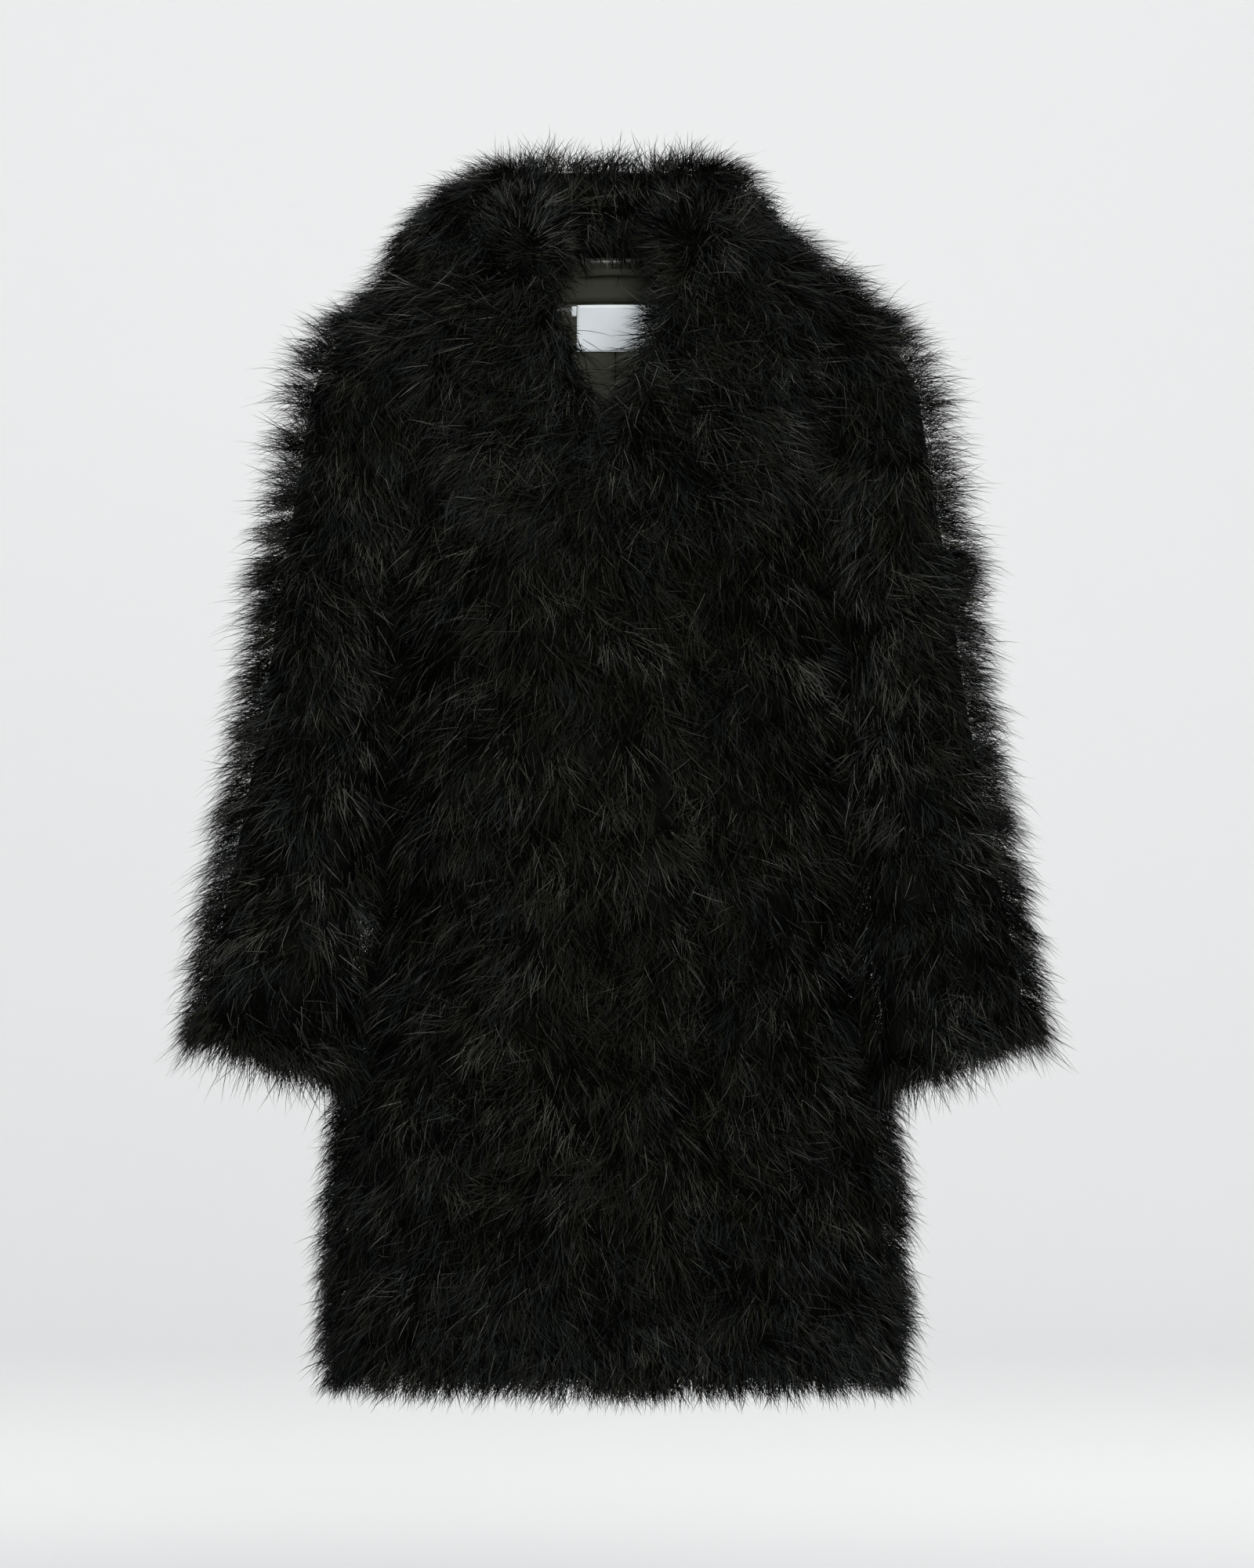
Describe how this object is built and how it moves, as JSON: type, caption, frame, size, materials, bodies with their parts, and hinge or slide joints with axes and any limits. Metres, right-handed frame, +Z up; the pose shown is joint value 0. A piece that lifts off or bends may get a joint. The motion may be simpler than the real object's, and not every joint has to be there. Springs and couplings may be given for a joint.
{
  "type": "feathered coat",
  "caption": "Knee-length black coat covered in marabou feathers, with a wide collar, V neck, long sleeves, satin lining and hooked front.",
  "frame": {"origin": "top of the hanger loop, inside the back of the neck, where a hook holds the coat up", "axes": "+Z up, the coat's front faces -Y, the wearer's left is +X"},
  "size_m": [0.6872, 0.313, 0.964],
  "materials": {
    "feathers": "fine glossy feather barbs",
    "base_cloth": "plain woven",
    "satin_lining": "satin",
    "woven_label": "satin woven",
    "fastener_metal": "black lacquer"
  },
  "bodies": {
    "coat_body": {"back_fabric": "base_cloth", "back_feathers_lower": "feathers", "right_back_feathers": "feathers", "left_back_feathers": "feathers", "right_back_lining": "satin_lining", "left_back_lining": "satin_lining", "back_neck_facing": "satin_lining", "right_front_fabric": "base_cloth", "right_front_lining": "satin_lining", "right_front_feathers": "feathers", "left_front_fabric": "base_cloth", "left_front_lining": "satin_lining", "left_front_feathers": "feathers", "right_collar_fabric": "base_cloth", "right_collar_feathers": "feathers", "left_collar_fabric": "base_cloth", "left_collar_feathers": "feathers", "back_collar_fabric": "base_cloth", "back_collar_feathers": "feathers", "collar_stand_fabric": "base_cloth", "collar_inner_feathers": "feathers", "collar_outer_feathers": "feathers", "label": "woven_label", "label_tab": "woven_label", "hanger_loop": "satin_lining", "hook_1": "fastener_metal", "eye_1": "fastener_metal", "eye_2": "fastener_metal"},
    "right_front": {"right_opening_fabric": "base_cloth", "right_opening_facing": "satin_lining", "right_opening_feathers": "feathers", "hook_2": "fastener_metal", "hook_3": "fastener_metal"},
    "left_front": {"left_opening_fabric": "base_cloth", "left_opening_facing": "satin_lining", "left_opening_feathers": "feathers", "eye_3": "fastener_metal"},
    "right_sleeve": {"right_sleeve_fabric": "base_cloth", "right_sleeve_lining": "satin_lining", "right_cuff_facing": "base_cloth", "right_sleeve_feathers_upper": "feathers", "right_sleeve_feathers_lower": "feathers"},
    "left_sleeve": {"left_sleeve_fabric": "base_cloth", "left_sleeve_lining": "satin_lining", "left_cuff_facing": "base_cloth", "left_sleeve_feathers_upper": "feathers", "left_sleeve_feathers_lower": "feathers"}
  },
  "joints": [
    {"name": "right_front_open", "type": "hinge", "parent": "coat_body", "child": "right_front", "pos_m": [0.0318, -0.192, -0.2475], "axis": [-0.2308, 0.0023, -0.973], "range_deg": [0, 70]},
    {"name": "left_front_open", "type": "hinge", "parent": "coat_body", "child": "left_front", "pos_m": [0.12, -0.182, -0.8875], "axis": [-0.3299, 0.0542, 0.9425], "range_deg": [0, 30]},
    {"name": "right_sleeve_swing", "type": "hinge", "parent": "coat_body", "child": "right_sleeve", "pos_m": [-0.179, -0.05, -0.1355], "axis": [-1, 0, 0], "range_deg": [0, 40]},
    {"name": "left_sleeve_swing", "type": "hinge", "parent": "coat_body", "child": "left_sleeve", "pos_m": [0.179, -0.05, -0.1355], "axis": [-1, 0, 0], "range_deg": [0, 40]}
  ],
  "couplings": [
    {"joint": "left_front_open", "follows": "right_front_open", "ratio": 0.42}
  ]
}
